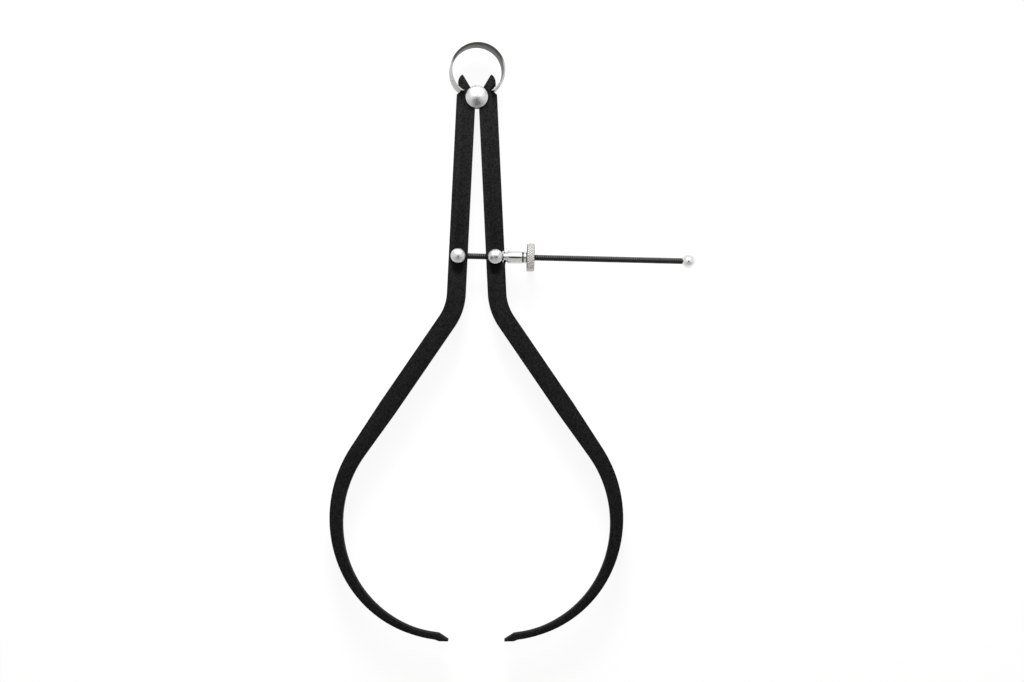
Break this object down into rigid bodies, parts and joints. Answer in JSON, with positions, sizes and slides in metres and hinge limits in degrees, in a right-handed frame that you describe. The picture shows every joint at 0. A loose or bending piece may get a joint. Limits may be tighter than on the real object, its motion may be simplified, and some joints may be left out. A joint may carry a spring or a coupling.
{
  "type": "outside spring caliper",
  "caption": "Outside caliper with two bowed legs, a spring bow over the pivot and a knurled nut on a screw that sets the jaw.",
  "frame": {"origin": "on the fulcrum's axis, at the rear face of the fulcrum stud", "axes": "+Z out of the front towards the domed heads, +Y towards the bow spring, +X to the right towards the nut"},
  "size_m": [0.1682, 0.2755, 0.013],
  "materials": {
    "leg_steel": "black oxide, satin, finely textured",
    "spring_steel": "ground spring steel, satin",
    "turned_steel": "turned domes, polished",
    "screw_steel": "black oxide, satin",
    "pin_steel": "plain",
    "bright_steel": "polished nickel plate",
    "nut_steel": "knurled rim, nickel plate"
  },
  "bodies": {
    "frame": {"fulcrum_stud": "turned_steel", "bow_spring": "spring_steel"},
    "left_leg_body": {"left_leg": "leg_steel"},
    "right_leg_body": {"right_leg": "leg_steel"},
    "screw_body": {"left_post": "turned_steel", "adjusting_screw": "screw_steel", "screw_pin": "pin_steel", "end_ball": "bright_steel"},
    "right_post_body": {"right_post": "turned_steel"},
    "sleeve_body": {"thrust_sleeve": "bright_steel", "thrust_washer": "bright_steel"},
    "nut_body": {"knurled_nut": "nut_steel"}
  },
  "joints": [
    {"name": "left_leg_turn", "type": "hinge", "parent": "frame", "child": "left_leg_body", "pos_m": [0, 0, 0.004], "axis": [0, 0, -1], "range_deg": [-2.76, 27.01], "deforming": ["bow_spring"]},
    {"name": "right_leg_turn", "type": "hinge", "parent": "frame", "child": "right_leg_body", "pos_m": [0, 0, 0.004], "axis": [0, 0, 1], "range_deg": [-2.75, 27], "deforming": ["bow_spring"]},
    {"name": "left_post_swivel", "type": "hinge", "parent": "left_leg_body", "child": "screw_body", "pos_m": [-0.00857, -0.07301, 0.004], "axis": [0, 0, 1], "range_deg": [-2.88, 28.17]},
    {"name": "right_post_swivel", "type": "hinge", "parent": "right_leg_body", "child": "right_post_body", "pos_m": [0.00859, -0.07339, 0.004], "axis": [0, 0, -1], "range_deg": [-2.64, 25.85]},
    {"name": "sleeve_slide", "type": "slide", "parent": "right_post_body", "child": "sleeve_body", "axis": [0.9998, -0.0221, 0], "range_m": [-0.0003, 0.00287]},
    {"name": "nut_spin", "type": "hinge", "parent": "sleeve_body", "child": "nut_body", "pos_m": [0.02458, -0.07375, 0.004], "axis": [0.9998, -0.0221, 0], "range_deg": [-2484, 24309]}
  ],
  "couplings": [
    {"joint": "left_leg_turn", "follows": "right_leg_turn", "ratio": 1},
    {"joint": "left_post_swivel", "follows": "right_leg_turn", "ratio": 1.043},
    {"joint": "right_post_swivel", "follows": "right_leg_turn", "ratio": 0.957},
    {"joint": "sleeve_slide", "follows": "right_leg_turn", "m_per_rad": 0.0060734},
    {"joint": "nut_spin", "follows": "right_leg_turn", "ratio": 900}
  ]
}
